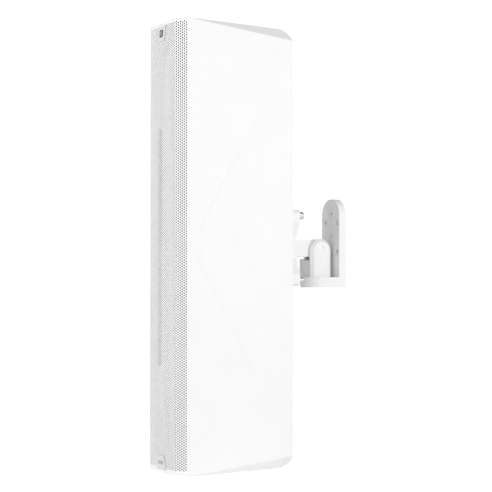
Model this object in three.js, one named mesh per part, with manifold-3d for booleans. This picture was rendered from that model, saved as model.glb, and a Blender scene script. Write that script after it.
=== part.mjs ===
// A one-metre column loudspeaker on a pan-and-tilt wall bracket.
// Millimetres, +Z up. The wall is the plane Y = 0, the loudspeaker faces -Y, and the
// tilt axis crosses the pan axis at Z = 0, at half the cabinet's height.
import * as THREE from "three";
import { ConvexGeometry } from "three/addons/geometries/ConvexGeometry.js";
import { mergeVertices } from "three/addons/utils/BufferGeometryUtils.js";
import Module from "manifold-3d";

const wasm = await Module();
wasm.setup();

// ---------------------------------------------------------------- driving dimensions

const HEIGHT = 1000;
const WIDTH = 176;
const DEPTH = 284;
const WALL = 9; // cabinet wall
const CHAMFER = 21; // front corners at 45 degrees, which the grille wraps
const FOLD = 7; // how far the fold down the middle of the front stands forward
const FOLD_HALF = 340; // beyond this height the fold forks to the corners
const EDGE_FACET = 30; // top and bottom edges: facets that grow to this at the back
const BACK_R = 22; // top and bottom back edges
const SIDE_STEP = 2.2; // depth of the arrow-shaped step in each side, at its tip
const STEP_TIP_Y = 35; // the tip's distance from the front
const STEP_TIP_R = 25; // the tip's rounding
const STEP_SLOPE = 1.5; // run of the step's wall for each millimetre of depth

const GRILLE_T = 1;
const FOAM_T = 2.5;
const TOP_LIP = 1.5; // the cabinet's end caps cover the grille's ends by this much
const BASE_LIP = 6.5;

const BACK_TO_WALL = 171; // cabinet back to wall
const PIVOT_TO_WALL = 55; // pan and tilt axes to wall
const GAP = 0.3; // between neighbouring pieces
const RUN = 0.05; // radial clearance of a turning shaft

const WOOFER_COUNT = 6;
const WOOFER_PITCH = 160;
const WOOFER_R = 67;
const WOOFER_SIDES = 16; // facets of each driver and of its hole
const TWEETER_MODULES = 4;
const TWEETERS_PER_MODULE = 5;
const TWEETER_PITCH = 26;
const SLOT_HALF = 11; // half the width of the tweeter slot in the foam

const ARM_HALF_H = 20;
const ARM_HALF_W = 25;
const TONGUE_HALF_W = 9;
const YOKE_HALF_W = 22;
const YOKE_R = 28;
const YOKE_CHAMFER = 7;
const BASE_HALF_W = 39.5; // wall plate and shelf
const PLATE_T = 18;
const PLATE_TOP = 118;
const SHELF_TOP = -67;
const SHELF_BOTTOM = -91;
const MOUNT_T = 28; // depth of the casting on the cabinet's back
const BOLT_X = 60;
const BOLT_Z = 74;
const PIN_R = 6;
const PAN_R = 8;

const PANEL_Z = -330; // height of the rear input panel's middle

// ---------------------------------------------------------------- derived places

const HALF_W = WIDTH / 2;
const HALF_H = HEIGHT / 2;
const BACK_Y = -BACK_TO_WALL;
const FRONT_Y = BACK_Y - DEPTH;
const SHELL_Y = FRONT_Y + CHAMFER;
const FLAT_HALF = HALF_W - CHAMFER;
const PIVOT_Y = -PIVOT_TO_WALL;
const INNER_W = HALF_W - WALL;
const INNER_H = HALF_H - WALL;
const INNER_BACK = BACK_Y - WALL;
const GRILLE_TOP = HALF_H - TOP_LIP;
const GRILLE_BASE = -HALF_H + BASE_LIP;
const BAFFLE_Y = FRONT_Y + 37;
const BAFFLE_T = 12;
const MOUNT_Y = BACK_Y + MOUNT_T;
const MODULE_H = TWEETER_PITCH * TWEETERS_PER_MODULE;
const TWEETER_HALF = (MODULE_H * TWEETER_MODULES) / 2;
const TWEETER_Y = FRONT_Y - 1.5;
const PANEL_Y = BACK_Y + GAP;
const PANEL_T = 2.5;
const PANEL_FACE = PANEL_Y + PANEL_T;

// ---------------------------------------------------------------- solids

function toSolid(geometry) {
  geometry.deleteAttribute("normal");
  geometry.deleteAttribute("uv");
  const merged = mergeVertices(geometry, 1e-4);
  const vertProperties = new Float32Array(merged.attributes.position.array);
  const triVerts = new Uint32Array(merged.index.array);
  return new wasm.Manifold(new wasm.Mesh({ numProp: 3, vertProperties, triVerts }));
}

function toGeometry(solid) {
  const mesh = solid.getMesh();
  const geometry = new THREE.BufferGeometry();
  geometry.setAttribute("position", new THREE.BufferAttribute(mesh.vertProperties, 3));
  geometry.setIndex(new THREE.BufferAttribute(mesh.triVerts, 1));
  return geometry;
}

function box(x, y, z) {
  const geometry = new THREE.BoxGeometry(x[1] - x[0], y[1] - y[0], z[1] - z[0]);
  geometry.translate((x[0] + x[1]) / 2, (y[0] + y[1]) / 2, (z[0] + z[1]) / 2);
  return toSolid(geometry);
}

function hull(points) {
  return toSolid(new ConvexGeometry(points.map((p) => new THREE.Vector3(...p))));
}

function outline(points) {
  return new THREE.Shape(points.map((p) => new THREE.Vector2(...p)));
}

function extrude(shape, from, to) {
  const options = { depth: to - from, bevelEnabled: false, curveSegments: 10 };
  const geometry = new THREE.ExtrudeGeometry(shape, options);
  geometry.translate(0, 0, from);
  return geometry;
}

// An outline in X and Y, extruded along Z.
function extrudeZ(shape, from, to) {
  return toSolid(extrude(shape, from, to));
}

// An outline in X and Z, extruded along Y.
function extrudeY(shape, from, to) {
  return toSolid(extrude(shape, -to, -from).rotateX(Math.PI / 2));
}

// An outline in Y and Z, extruded along X.
function extrudeX(shape, from, to) {
  return toSolid(extrude(shape, from, to).rotateX(Math.PI / 2).rotateZ(Math.PI / 2));
}

const TURN = { X: [0, 0, -Math.PI / 2], Y: [0, 0, 0], Z: [Math.PI / 2, 0, 0] };

// A profile of [radius, distance along the axis], turned about X, Y or Z.
function turned(profile, axis, centre, segments) {
  const points = profile.map((p) => new THREE.Vector2(...p));
  const geometry = new THREE.LatheGeometry(points, segments);
  geometry.rotateZ(TURN[axis][2]).rotateX(TURN[axis][0]);
  geometry.translate(...centre);
  const solid = toSolid(geometry);
  return solid.volume() > 0 ? solid : toSolid(flipped(geometry));
}

function flipped(geometry) {
  const index = geometry.index.array;
  for (let i = 0; i < index.length; i += 3) {
    [index[i], index[i + 1]] = [index[i + 1], index[i]];
  }
  return geometry;
}

function rod(radius, from, to, axis, centre, segments = 24) {
  const profile = [[0, from], [radius, from], [radius, to], [0, to]];
  return turned(profile, axis, centre, segments);
}

function ring(inner, outer, from, to, axis, centre, segments = 24) {
  const profile = [[inner, from], [outer, from], [outer, to], [inner, to], [inner, from]];
  return turned(profile, axis, centre, segments);
}

// The vertex radius at which a polygon's flats stay clear of a shaft of this radius.
function boreRadius(shaft, segments) {
  return (shaft + RUN) / Math.cos(Math.PI / segments);
}

function joined(first, ...rest) {
  return rest.reduce((sum, solid) => sum.add(solid), first);
}

function cut(first, ...rest) {
  return rest.reduce((left, solid) => left.subtract(solid), first);
}

function arc(cx, cy, radius, fromDeg, toDeg, steps) {
  return Array.from({ length: steps + 1 }, (_, i) => {
    const a = THREE.MathUtils.degToRad(fromDeg + ((toDeg - fromDeg) * i) / steps);
    return [cx + radius * Math.cos(a), cy + radius * Math.sin(a)];
  });
}

function centred(count, pitch) {
  return Array.from({ length: count }, (_, i) => (i - (count - 1) / 2) * pitch);
}

// ---------------------------------------------------------------- materials and nodes

function material(colour, roughness, metalness) {
  return new THREE.MeshStandardMaterial({ color: colour, roughness, metalness });
}

const finish = {
  paint: () => material(0xf2f2f0, 0.5, 0),
  grille: () => material(0xeeeeec, 0.45, 0.1),
  casting: () => material(0xf0f0ee, 0.45, 0.1),
  foam: () => material(0xc9c9c6, 0.95, 0),
  black: () => material(0x17181a, 0.6, 0),
  cone: () => material(0x202124, 0.8, 0),
  iron: () => material(0x35373a, 0.5, 0.7),
  board: () => material(0x2a4a36, 0.5, 0),
  copper: () => material(0xa65f34, 0.35, 0.9),
  steel: () => material(0xb9bcc0, 0.25, 1),
  badge: () => material(0xcfd2d4, 0.3, 0.8),
  fibre: () => material(0xb08a5c, 0.8, 0),
};

function addPart(parent, name, solid, makeMaterial) {
  const mesh = new THREE.Mesh(toGeometry(solid), makeMaterial());
  mesh.name = name;
  parent.add(mesh);
  return mesh;
}

// ---------------------------------------------------------------- cabinet

// The front's plan at an inset: chamfer, two flats that meet at the fold, chamfer.
function frontPlan(inset, fold) {
  const side = HALF_W - inset * Math.SQRT2;
  const flat = FLAT_HALF - inset * (Math.SQRT2 - 1);
  const front = FRONT_Y + inset;
  return [[side, SHELL_Y], [flat, front], [0, front - fold], [-flat, front], [-side, SHELL_Y]];
}

// Everything behind the front at an inset. The fold is gone at the two ends, so it forks
// and leaves a triangular facet at the top and at the bottom.
function frontBlock(inset, backY) {
  const half = HALF_W - inset * Math.SQRT2;
  const layers = [[HALF_H, 0], [FOLD_HALF, FOLD], [-FOLD_HALF, FOLD], [-HALF_H, 0]];
  return hull(layers.flatMap(([z, fold]) => {
    const plan = [...frontPlan(inset, fold), [-half, backY], [half, backY]];
    return plan.map(([x, y]) => [x, y, z]);
  }));
}

// A skin of constant thickness that follows the front, between two heights.
function frontSkin(inset, thickness, fromZ, toZ) {
  const skin = cut(frontBlock(inset, SHELL_Y), frontBlock(inset + thickness, SHELL_Y + 1));
  const span = box([-HALF_W - 1, HALF_W + 1], [FRONT_Y - FOLD - 1, SHELL_Y + 2], [fromZ, toZ]);
  return skin.intersect(span);
}

// The wedge that makes one long edge facet. It starts at nothing at the shell's front.
function edgeFacet(sideX, sideZ, halfW, halfH) {
  const over = 12;
  const end = BACK_Y + over;
  const size = (EDGE_FACET * (end - SHELL_Y)) / (BACK_Y - SHELL_Y);
  const x = (v) => sideX * v;
  const z = (v) => sideZ * v;
  const out = 20;
  return hull([
    [x(halfW), SHELL_Y, z(halfH)],
    [x(halfW), end, z(halfH - size)],
    [x(halfW - size), end, z(halfH)],
    [x(halfW + out), SHELL_Y, z(halfH)],
    [x(halfW), SHELL_Y, z(halfH + out)],
    [x(halfW + out), end, z(halfH - size)],
    [x(halfW - size), end, z(halfH + out)],
    [x(halfW + out), end, z(halfH + out)],
    [x(halfW + out), SHELL_Y, z(halfH + out)],
  ]);
}

function facetedBlock(halfW, halfH, frontY, backY, backR) {
  const profile = outline([
    [frontY, -halfH],
    ...arc(backY - backR, -halfH + backR, backR, -90, 0, 6),
    ...arc(backY - backR, halfH - backR, backR, 0, 90, 6),
    [frontY, halfH],
  ]);
  const corners = [[1, 1], [1, -1], [-1, 1], [-1, -1]];
  const wedges = corners.map(([sx, sz]) => edgeFacet(sx, sz, halfW, halfH));
  return cut(extrudeX(profile, -halfW, halfW), ...wedges);
}

// The arrow's outline in Y and Z, grown by one margin at its tip and another at its ends.
function arrowOutline(tipMargin, endMargin) {
  const endY = BACK_Y + 1;
  const endZ = HALF_H - EDGE_FACET;
  const centreY = FRONT_Y + STEP_TIP_Y + STEP_TIP_R;
  const reach = Math.hypot(endY - centreY, endZ);
  const turn = Math.atan2(endZ, endY - centreY) + Math.acos(STEP_TIP_R / reach);
  const from = THREE.MathUtils.radToDeg(turn);
  const tip = arc(centreY, 0, STEP_TIP_R + tipMargin, from, 360 - from, 6);
  return [...tip, [endY, -endZ - endMargin], [endY, endZ + endMargin]];
}

// The arrow-shaped step: a plane that starts SIDE_STEP deep at the tip and runs out
// at the back edge, between the two lower corners of the edge facets.
function sideStep(side) {
  const tipY = FRONT_Y + STEP_TIP_Y;
  const over = 4;
  const fade = 0.04;
  const depth = (y) => SIDE_STEP - ((SIDE_STEP - fade) * (y - tipY)) / (BACK_Y + 1 - tipY);
  const floor = arrowOutline(0, 0).map(([y, z]) => [side * (HALF_W - depth(y)), y, z]);
  const rim = arrowOutline(STEP_SLOPE * (SIDE_STEP + over), 2 * STEP_SLOPE * over);
  return hull([...floor, ...rim.map(([y, z]) => [side * (HALF_W + over), y, z])]);
}

function boltHoles(radius, fromY, toY) {
  const places = [[1, 1], [1, -1], [-1, 1], [-1, -1]];
  return places.map(([sx, sz]) => {
    return rod(radius, fromY, toY, "Y", [sx * BOLT_X, 0, sz * BOLT_Z], 20);
  });
}

function cabinetShell() {
  const body = facetedBlock(HALF_W, HALF_H, SHELL_Y, BACK_Y, BACK_R);
  const joint = [[-HALF_W + 2, SHELL_Y + 2], [HALF_W - 2, SHELL_Y + 2]];
  const seat = outline([...frontPlan(GRILLE_T + GAP, 0), ...joint]);
  const lip = outline([...frontPlan(0, 0), ...joint]);
  const caps = [
    extrudeZ(seat, INNER_H - 1, HALF_H - 0.5),
    extrudeZ(lip, GRILLE_TOP + GAP, HALF_H),
    extrudeZ(seat, -HALF_H + 0.5, -INNER_H + 1),
    extrudeZ(lip, -HALF_H, GRILLE_BASE - GAP),
  ];
  const cavity = facetedBlock(INNER_W, INNER_H, SHELL_Y - 1, INNER_BACK, BACK_R - WALL);
  const mouth = box([-INNER_W, INNER_W], [FRONT_Y - 5, SHELL_Y + 1], [-INNER_H, INNER_H]);
  const panelHole = box([-48, 48], [INNER_BACK - 5, BACK_Y + 5], [PANEL_Z - 70, PANEL_Z + 70]);
  return cut(
    joined(body, ...caps),
    cavity,
    mouth,
    sideStep(1),
    sideStep(-1),
    panelHole,
    ...boltHoles(5.2, INNER_BACK - 5, BACK_Y + 5),
  );
}

function wooferPlaces() {
  return centred(WOOFER_COUNT, WOOFER_PITCH);
}

function frontBaffle() {
  const y = [BAFFLE_Y, BAFFLE_Y + BAFFLE_T];
  const x = INNER_W - GAP;
  const z = INNER_H - GAP;
  const board = box([-x, x], y, [-z, z]);
  const inside = facetedBlock(x, z, SHELL_Y, INNER_BACK, BACK_R - WALL);
  const holes = wooferPlaces().map((at) => {
    return rod(58, y[0] - 2, y[1] + 2, "Y", [0, 0, at], WOOFER_SIDES);
  });
  return cut(board.intersect(inside), ...holes);
}

function brace(z) {
  const x = INNER_W - GAP;
  const half = 4;
  const plate = box([-x, x], [BAFFLE_Y + BAFFLE_T + GAP, INNER_BACK - GAP], [z - half, z + half]);
  return cut(plate, box([-45, 45], [-345, -250], [z - 10, z + 10]));
}

function grilleFoam() {
  const half = INNER_H - GAP - 1;
  const sheet = frontSkin(GRILLE_T + GAP, FOAM_T, -half, half);
  const slot = TWEETER_HALF + 4;
  const span = [FRONT_Y - FOLD, FRONT_Y + 12];
  const flats = box([-FLAT_HALF + 2, FLAT_HALF - 2], span, [-half - 1, half + 1]);
  return cut(sheet.intersect(flats), box([-SLOT_HALF, SLOT_HALF], span, [-slot, slot]));
}

function cabinetNodes(group) {
  addPart(group, "cabinet_shell", cabinetShell(), finish.paint);
  addPart(group, "front_baffle", frontBaffle(), finish.black);
  addPart(group, "upper_brace", brace(WOOFER_PITCH), finish.black);
  addPart(group, "lower_brace", brace(-WOOFER_PITCH), finish.black);
  const sheet = frontSkin(0, GRILLE_T, GRILLE_BASE, GRILLE_TOP);
  addPart(group, "perforated_grille", sheet, finish.grille);
  addPart(group, "grille_foam", grilleFoam(), finish.foam);
  const foam = box([-70, 70], [INNER_BACK - 26, INNER_BACK - GAP], [175, 460]);
  addPart(group, "damping_pad", foam, finish.foam);
}

// ---------------------------------------------------------------- badges

const BADGE_T = 2;

// A plate on the front's end facet. Heights are from the cabinet's end.
function badge(points, side) {
  const lean = THREE.MathUtils.radToDeg(Math.atan(FOLD / (HALF_H - FOLD_HALF)));
  const plate = extrudeY(outline(points), -GAP - BADGE_T, -GAP);
  return plate.rotate([-side * lean, 0, 0]).translate([0, FRONT_Y, side * HALF_H]);
}

function badgeNodes(group) {
  const top = -8;
  const low = top - 33;
  const shield = [[-19, top], [-19, low + 10], [-12, low], [12, low], [19, low + 10], [19, top]];
  addPart(group, "top_badge", badge(shield.reverse(), 1), finish.badge);
  const base = BASE_LIP + 1;
  const plinth = [
    [-23, base], [23, base], [23, base + 9], [15, base + 31], [-15, base + 31], [-23, base + 9],
  ];
  addPart(group, "bottom_badge", badge(plinth, -1), finish.badge);
}

// ---------------------------------------------------------------- loudspeaker drivers

// Driver profiles: [radius, distance behind the baffle's front].
const BASKET = [
  [WOOFER_R, -4], [WOOFER_R, -GAP], [57.4, -GAP], [33, 46], [12, 46],
  [12, 43.5], [31, 43.5], [54.7, 1], [54.7, -4], [WOOFER_R, -4],
];
const CONE = [
  [0, 15], [15, 20.5], [48, -1.5], [51, -3.6], [54.2, -2.6],
  [54.2, -1.2], [17, 23.5], [0, 23.5],
];
const MAGNET = [[0, 46.3], [34, 46.3], [38, 49], [38, 66], [34, 70], [0, 70]];

function wooferNodes(group) {
  wooferPlaces().forEach((z, i) => {
    const place = [0, BAFFLE_Y, z];
    const number = i + 1;
    const part = (profile) => turned(profile, "Y", place, WOOFER_SIDES);
    addPart(group, `woofer_${number}_basket`, part(BASKET), finish.black);
    addPart(group, `woofer_${number}_cone`, part(CONE), finish.cone);
    addPart(group, `woofer_${number}_magnet`, part(MAGNET), finish.iron);
  });
}

function tweeterModule(z) {
  const half = MODULE_H / 2 - GAP / 2;
  const face = box([-10, 10], [TWEETER_Y, TWEETER_Y + 4], [z - half, z + half]);
  const chamber = box([-14, 14], [TWEETER_Y + 3, TWEETER_Y + 21], [z - half + 2, z + half - 2]);
  const dome = [[0, -2.2], [4.5, -1.6], [8.5, 0.4], [8.5, 1.5], [0, 1.5]];
  const domes = centred(TWEETERS_PER_MODULE, TWEETER_PITCH).map((at) => {
    return turned(dome, "Y", [0, TWEETER_Y, z + at], 10);
  });
  return joined(face, chamber, ...domes);
}

function tweeterBar() {
  const back = TWEETER_Y + 21 + GAP;
  const half = TWEETER_HALF + 8;
  const plate = box([-16, 16], [back, back + 3.5], [-half, half]);
  const feet = [-half + 6, -WOOFER_PITCH, 0, WOOFER_PITCH, half - 6].map((z) => {
    return box([-8, 8], [back + 3, BAFFLE_Y - GAP], [z - 6, z + 6]);
  });
  return joined(plate, ...feet);
}

function tweeterNodes(group) {
  centred(TWEETER_MODULES, MODULE_H).forEach((z, i) => {
    addPart(group, `tweeter_module_${i + 1}`, tweeterModule(z), finish.black);
  });
  addPart(group, "tweeter_bar", tweeterBar(), finish.black);
}

// ---------------------------------------------------------------- crossover

const BOARD_Y = BACK_Y - 52;
const BOARD_T = 1.6;

function crossoverBoard() {
  const board = box([-42, 42], [BOARD_Y, BOARD_Y + BOARD_T], [PANEL_Z - 62, PANEL_Z + 62]);
  const posts = [[1, 1], [1, -1], [-1, 1], [-1, -1]].map(([sx, sz]) => {
    const place = [sx * 38, 0, PANEL_Z + sz * 58];
    return rod(3, BOARD_Y + 1, PANEL_Y - GAP, "Y", place, 12);
  });
  return joined(board, ...posts);
}

function crossoverNodes(group) {
  const y = BOARD_Y - GAP;
  addPart(group, "crossover_board", crossoverBoard(), finish.board);
  [36, -14].forEach((z, i) => {
    const coil = ring(9, 20, y - 20, y, "Y", [-18, 0, PANEL_Z + z], 24);
    addPart(group, `crossover_coil_${i + 1}`, coil, finish.copper);
  });
  [40, 12, -16].forEach((z, i) => {
    const can = rod(9, 4, 38, "X", [0, y - 9.3, PANEL_Z + z], 16);
    addPart(group, `crossover_capacitor_${i + 1}`, can, finish.black);
  });
  const floor = -INNER_H + GAP;
  const core = box([-36, 36], [-300, -240], [floor, floor + 52]);
  const winding = box([-24, 24], [-312, -228], [floor + 9, floor + 43]);
  addPart(group, "line_transformer", joined(core, winding), finish.iron);
}

// ---------------------------------------------------------------- rear input panel

const SOCKET_X = 24;
const SOCKET_Z = PANEL_Z + 44;
const KNOB_Z = PANEL_Z - 8;
const SWITCH_Z = PANEL_Z - 50;
const SWITCH_X = -26;
const TERMINAL_X = 16;

function inputPanel() {
  const plate = box([-54, 54], [PANEL_Y, PANEL_FACE], [PANEL_Z - 76, PANEL_Z + 76]);
  const hole = (r, x, z) => rod(r, PANEL_Y - 2, PANEL_FACE + 2, "Y", [x, 0, z], 24);
  const slot = box([SWITCH_X - 7, SWITCH_X + 7], [PANEL_Y - 2, PANEL_FACE + 2], [SWITCH_Z - 3, SWITCH_Z + 3]);
  return cut(
    plate,
    hole(13.1, -SOCKET_X, SOCKET_Z),
    hole(13.1, SOCKET_X, SOCKET_Z),
    hole(boreRadius(3, 24), -SOCKET_X, KNOB_Z),
    hole(boreRadius(3, 24), SOCKET_X, KNOB_Z),
    slot,
  );
}

function speakerSocket(x) {
  const face = PANEL_FACE + GAP;
  const flange = box([x - 14, x + 14], [face, face + 3], [SOCKET_Z - 16, SOCKET_Z + 16]);
  const barrel = rod(12.7, BACK_Y - 24, face + 1, "Y", [x, 0, SOCKET_Z], 24);
  const mouth = rod(11.2, BACK_Y - 20, face + 5, "Y", [x, 0, SOCKET_Z], 24);
  return cut(joined(flange, barrel), mouth);
}

function selectorKnob(x) {
  const base = PANEL_FACE + 1;
  const profile = [[0, -14], [3, -14], [3, 0], [12.5, 0], [11.5, 4], [9.5, 5], [8.5, 14], [0, 14]];
  const knob = turned(profile, "Y", [x, base, KNOB_Z], 24);
  const grip = box([x - 2.6, x + 2.6], [base + 3, base + 16], [KNOB_Z - 9, KNOB_Z + 11]);
  return joined(knob, grip);
}

function terminalBlock() {
  const face = PANEL_FACE + GAP;
  const block = box([TERMINAL_X - 24, TERMINAL_X + 24], [face, face + 12], [SWITCH_Z - 9, SWITCH_Z + 9]);
  const holes = centred(4, 11).map((x) => {
    return rod(1.8, face + 4, face + 20, "Y", [TERMINAL_X + x, 0, SWITCH_Z - 3], 12);
  });
  return cut(block, ...holes);
}

function voicingSlider() {
  const x = SWITCH_X - 3;
  const stem = box([x - 2.5, x + 2.5], [PANEL_Y - 6, PANEL_FACE + 3.5], [SWITCH_Z - 2.7, SWITCH_Z + 2.7]);
  const foot = box([x - 4, x + 4], [PANEL_Y - 6, PANEL_Y - 1], [SWITCH_Z - 6, SWITCH_Z + 6]);
  return joined(stem, foot);
}

function inputNodes(group) {
  addPart(group, "input_panel", inputPanel(), finish.black);
  addPart(group, "speaker_socket_1", speakerSocket(-SOCKET_X), finish.black);
  addPart(group, "speaker_socket_2", speakerSocket(SOCKET_X), finish.black);
  addPart(group, "terminal_block", terminalBlock(), finish.black);
  addPart(group, "tap_selector_knob", selectorKnob(SOCKET_X), finish.black);
  addPart(group, "coverage_knob", selectorKnob(-SOCKET_X), finish.black);
  addPart(group, "voicing_slider", voicingSlider(), finish.black);
}

// ---------------------------------------------------------------- bracket on the cabinet

// Waisted plate: full width beyond 60 mm from the middle, narrow within 24 mm of it.
function waistedPlate(inset) {
  const wide = 72 - inset;
  const narrow = 56 - inset;
  const high = 87 - inset;
  const r = 9 - inset / 2;
  const quarter = (sx, sz, from) => arc(sx * (wide - r), sz * (high - r), r, from, from + 90, 5);
  return outline([
    ...quarter(1, -1, -90), [wide, -60], [narrow, -24], [narrow, 24], [wide, 60],
    ...quarter(1, 1, 0),
    ...quarter(-1, 1, 90), [-wide, 60], [-narrow, 24], [-narrow, -24], [-wide, -60],
    ...quarter(-1, -1, 180),
  ]);
}

function speakerBracket() {
  const face = BACK_Y + GAP;
  const plate = extrudeY(waistedPlate(0), face, MOUNT_Y);
  const bosses = boltHoles(12, face - 2, MOUNT_Y - 6);
  const pocket = cut(extrudeY(waistedPlate(6), face - 1, MOUNT_Y - 7), ...bosses);
  const arm = hull([-ARM_HALF_W, ARM_HALF_W].flatMap((x) => [
    [x, MOUNT_Y - 3, ARM_HALF_H], [x, MOUNT_Y - 3, -ARM_HALF_H],
    [x, PIVOT_Y - 38, ARM_HALF_H], [x, PIVOT_Y - 46, -ARM_HALF_H],
  ]));
  const end = ARM_HALF_H - 1;
  const tongue = extrudeX(outline([
    [PIVOT_Y - 50, end], [PIVOT_Y - 50, -end], ...arc(PIVOT_Y, 0, end, -90, 90, 14),
  ]), -TONGUE_HALF_W, TONGUE_HALF_W);
  const bore = rod(boreRadius(PIN_R, 32), -20, 20, "X", [0, PIVOT_Y, 0], 32);
  return cut(joined(cut(plate, pocket), arm, tongue), bore, ...boltHoles(5.2, face - 2, MOUNT_Y + 2));
}

function bracketBolt(sx, sz) {
  const seat = MOUNT_Y + GAP;
  const profile = [
    [0, INNER_BACK - 6], [4.8, INNER_BACK - 6], [4.8, seat], [11.5, seat], [11.5, seat + 2],
    [9, seat + 2], [9, seat + 11.5], [7.8, seat + 13], [0, seat + 13],
  ];
  const socket = rod(4.2, seat + 6, seat + 16, "Y", [sx * BOLT_X, 0, sz * BOLT_Z], 6);
  return cut(turned(profile, "Y", [sx * BOLT_X, 0, sz * BOLT_Z], 20), socket);
}

function bracketNodes(group) {
  addPart(group, "speaker_bracket", speakerBracket(), finish.casting);
  [[1, 1], [-1, 1], [1, -1], [-1, -1]].forEach(([sx, sz], i) => {
    addPart(group, `bracket_bolt_${i + 1}`, bracketBolt(sx, sz), finish.steel);
  });
}

// ---------------------------------------------------------------- yoke

const YOKE_FLOOR = SHELF_TOP + GAP;
const YOKE_ARC_Z = -5;
const LOCK_BLOCK_X = -34; // far side of the block that takes the pan lock
const LOCK_BLOCK_TOP = -24;
const SLOT_HALF_W = TONGUE_HALF_W + 2.1;

function yokeProfile(radius) {
  return [
    [PIVOT_Y - radius, YOKE_FLOOR], [PIVOT_Y + radius, YOKE_FLOOR],
    ...arc(PIVOT_Y, YOKE_ARC_Z, radius, 0, 180, 18),
  ];
}

function tiltYoke() {
  const broad = YOKE_HALF_W - YOKE_CHAMFER;
  const layers = [
    [-YOKE_HALF_W, YOKE_R - YOKE_CHAMFER], [-broad, YOKE_R],
    [broad, YOKE_R], [YOKE_HALF_W, YOKE_R - YOKE_CHAMFER],
  ];
  const body = hull(layers.flatMap(([x, r]) => yokeProfile(r).map(([y, z]) => [x, y, z])));
  const lockBlock = box(
    [LOCK_BLOCK_X, -broad], [PIVOT_Y - YOKE_R, PIVOT_Y + 10], [YOKE_FLOOR, LOCK_BLOCK_TOP],
  );
  const slot = box([-SLOT_HALF_W, SLOT_HALF_W], [PIVOT_Y - 40, PIVOT_Y + 40], [-27, 40]);
  const bore = rod(PIN_R + 0.2, -30, 30, "X", [0, PIVOT_Y, 0], 32);
  const socket = rod(PAN_R + 0.3, YOKE_FLOOR - 5, -38, "Z", [0, PIVOT_Y, 0], 32);
  return cut(joined(body, lockBlock), slot, bore, socket);
}

function hexNut(axis, centre, from, to, across, bore) {
  return cut(rod(across, from, to, axis, centre, 6), rod(bore, from - 2, to + 2, axis, centre, 24));
}

function yokeNodes(group) {
  const pivot = [0, PIVOT_Y, 0];
  addPart(group, "tilt_yoke", tiltYoke(), finish.casting);
  const pin = rod(PIN_R, -YOKE_HALF_W - 11, YOKE_HALF_W - 0.5, "X", pivot, 32);
  addPart(group, "tilt_pin", pin, finish.steel);
  const nut = hexNut("X", pivot, -YOKE_HALF_W - GAP - 8, -YOKE_HALF_W - GAP, 10.5, PIN_R + GAP);
  addPart(group, "tilt_lock_nut", nut, finish.steel);
  const near = TONGUE_HALF_W + GAP;
  [-1, 1].forEach((side) => {
    const span = [side * near, side * (near + 1.5)].sort((a, b) => a - b);
    const washer = ring(PIN_R + GAP, 14, ...span, "X", pivot, 24);
    addPart(group, side < 0 ? "tilt_washer_left" : "tilt_washer_right", washer, finish.fibre);
  });
  const head = -80.3;
  const bolt = joined(
    rod(PAN_R, head - 5, -38 - GAP, "Z", [0, PIVOT_Y, 0], 32),
    rod(13, head - 9, head, "Z", [0, PIVOT_Y, 0], 6),
  );
  addPart(group, "pan_bolt", bolt, finish.steel);
  const washer = ring(PAN_R + GAP, 16, head + GAP, head + 1.7, "Z", [0, PIVOT_Y, 0], 24);
  addPart(group, "pan_washer", washer, finish.steel);
}

// ---------------------------------------------------------------- wall bracket

const SCREW_R = 5.5;
const SCREWS = [[-26, 62], [26, 62], [-26, -6], [26, -6], [0, 82]];

function wallBracket() {
  const w = BASE_HALF_W;
  const plate = extrudeY(outline([
    [-w, SHELF_BOTTOM], [w, SHELF_BOTTOM], ...arc(0, PLATE_TOP - w, w, 0, 180, 28),
  ]), -PLATE_T, 0);
  const shelf = extrudeZ(outline([
    [w, -PLATE_T + 3], [-w, -PLATE_T + 3], ...arc(0, PIVOT_Y, w, 180, 360, 28),
  ]), SHELF_BOTTOM, SHELF_TOP);
  const screws = SCREWS.flatMap(([x, z]) => [
    rod(SCREW_R, -PLATE_T - 2, 2, "Y", [x, 0, z], 16),
    rod(11, -PLATE_T - 2, -PLATE_T + 2.5, "Y", [x, 0, z], 20),
  ]);
  const cableHole = rod(9, -PLATE_T - 2, 2, "Y", [0, 0, 28], 24);
  const pan = rod(boreRadius(PAN_R, 32), SHELF_BOTTOM - 2, SHELF_TOP + 2, "Z", [0, PIVOT_Y, 0], 32);
  const recess = rod(18, SHELF_BOTTOM - 2, -78, "Z", [0, PIVOT_Y, 0], 28);
  return cut(joined(plate, shelf), ...screws, cableHole, pan, recess);
}

// ---------------------------------------------------------------- assembly

const group = new THREE.Group();
const speaker = new THREE.Group();
const yoke = new THREE.Group();
const base = new THREE.Group();
group.add(base, yoke, speaker);

addPart(base, "wall_bracket", wallBracket(), finish.casting);
yokeNodes(yoke);
bracketNodes(speaker);
cabinetNodes(speaker);
badgeNodes(speaker);
wooferNodes(speaker);
tweeterNodes(speaker);
crossoverNodes(speaker);
inputNodes(speaker);

export default group;
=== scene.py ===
import math

import bmesh
import bpy
import numpy as np
from mathutils import Matrix, Vector


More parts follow.
